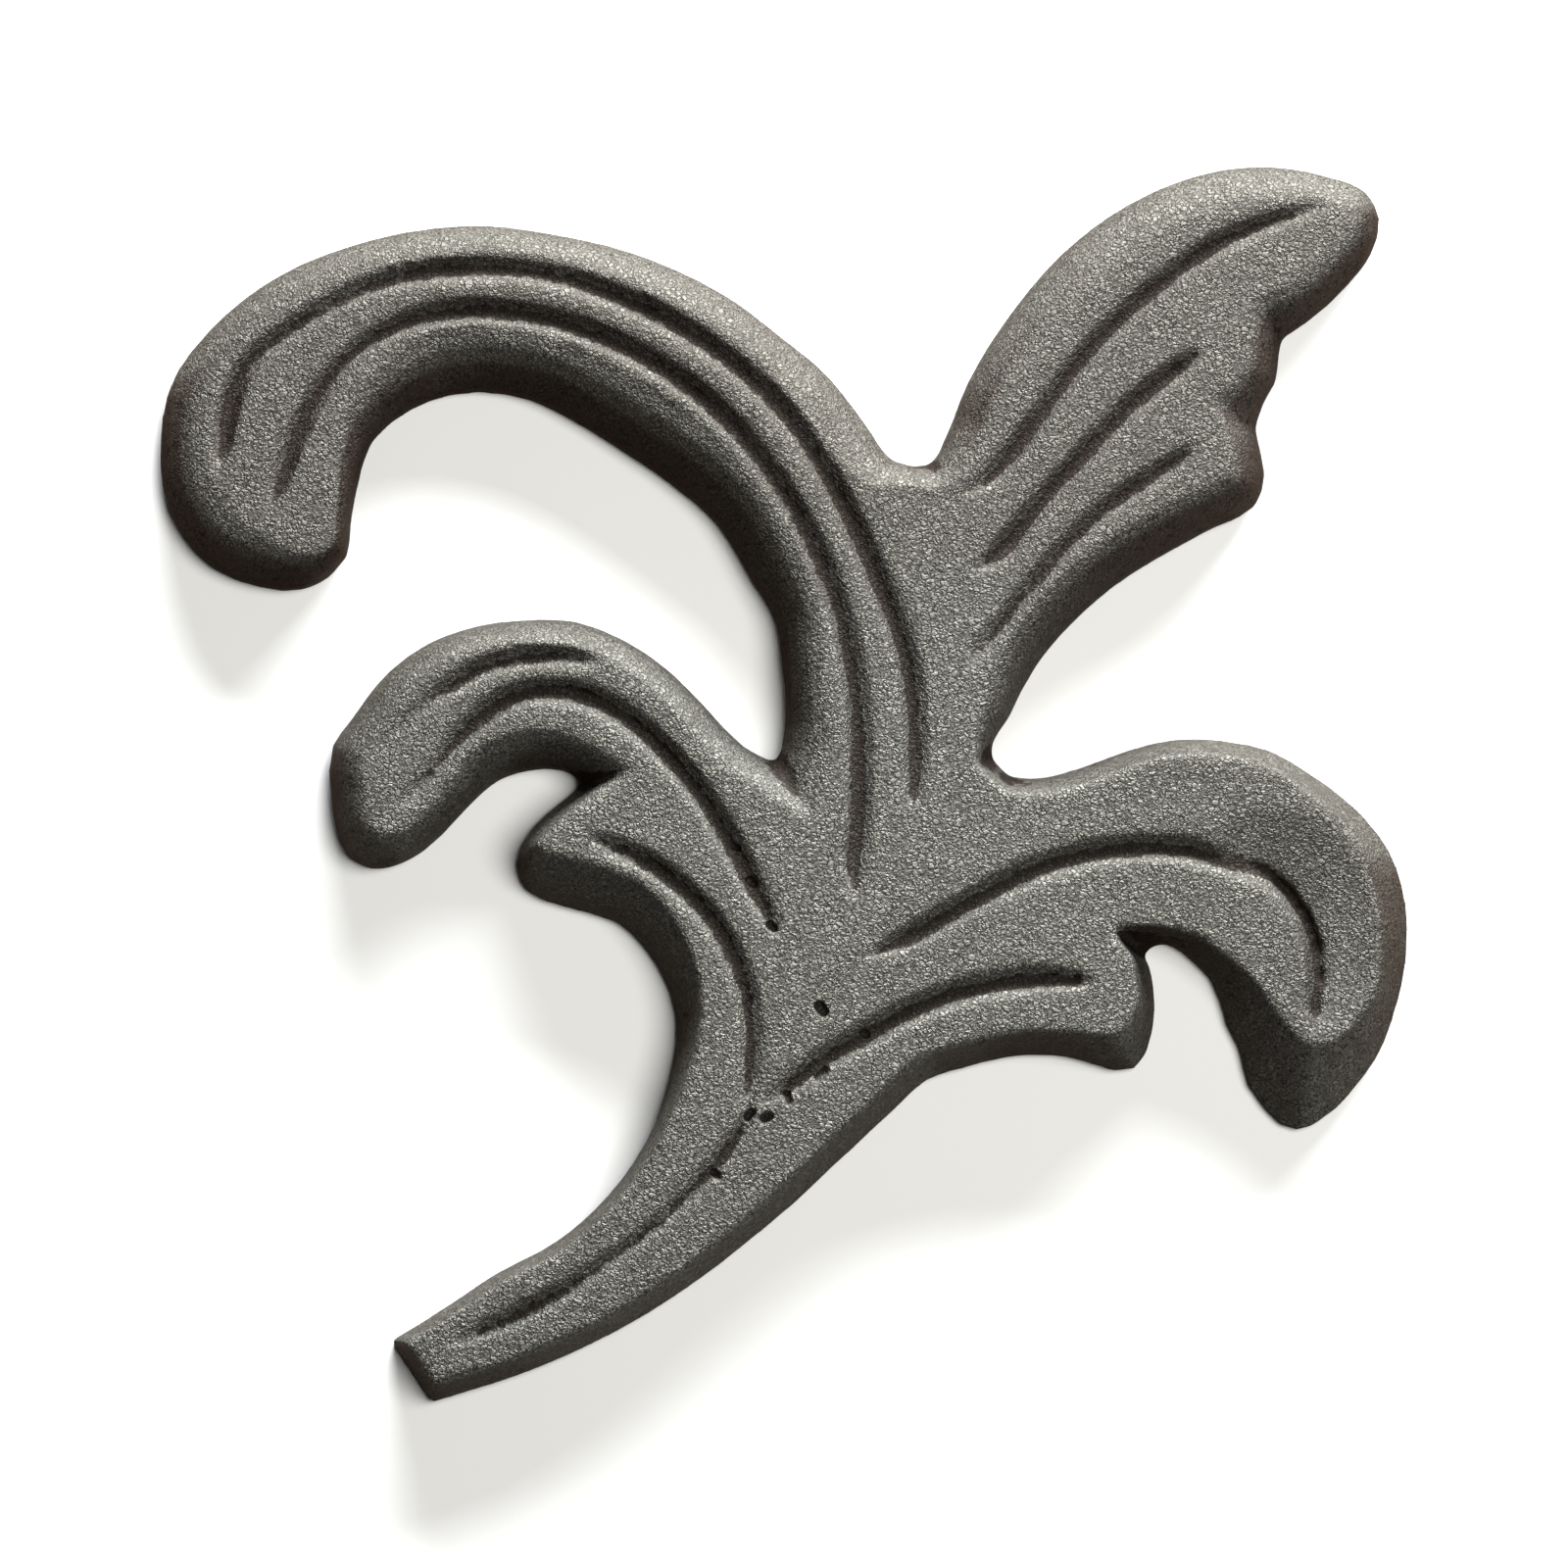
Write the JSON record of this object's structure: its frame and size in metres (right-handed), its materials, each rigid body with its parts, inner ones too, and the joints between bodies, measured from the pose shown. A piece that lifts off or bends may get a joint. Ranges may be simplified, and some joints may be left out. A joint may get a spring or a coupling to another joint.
{
  "type": "cast iron leaf ornament",
  "caption": "Flat-backed cast iron leaf with scrolled lobes, carved veins and a short stem, welded to gates, railings and fence panels as an ornament.",
  "frame": {"origin": "middle of the leaf's outline, on the flat back that it lies on", "axes": "+Z out of the carved face, +X across the leaf towards the fluke, +Y up it towards the scroll and the wing; the stem runs off towards -X and -Y"},
  "size_m": [0.1598, 0.1582, 0.012],
  "materials": {
    "cast_iron": "bare, as cast, sand-textured, with a thin brown film in the veins"
  },
  "bodies": {
    "root": {"leaf_casting": "cast_iron"}
  },
  "joints": []
}
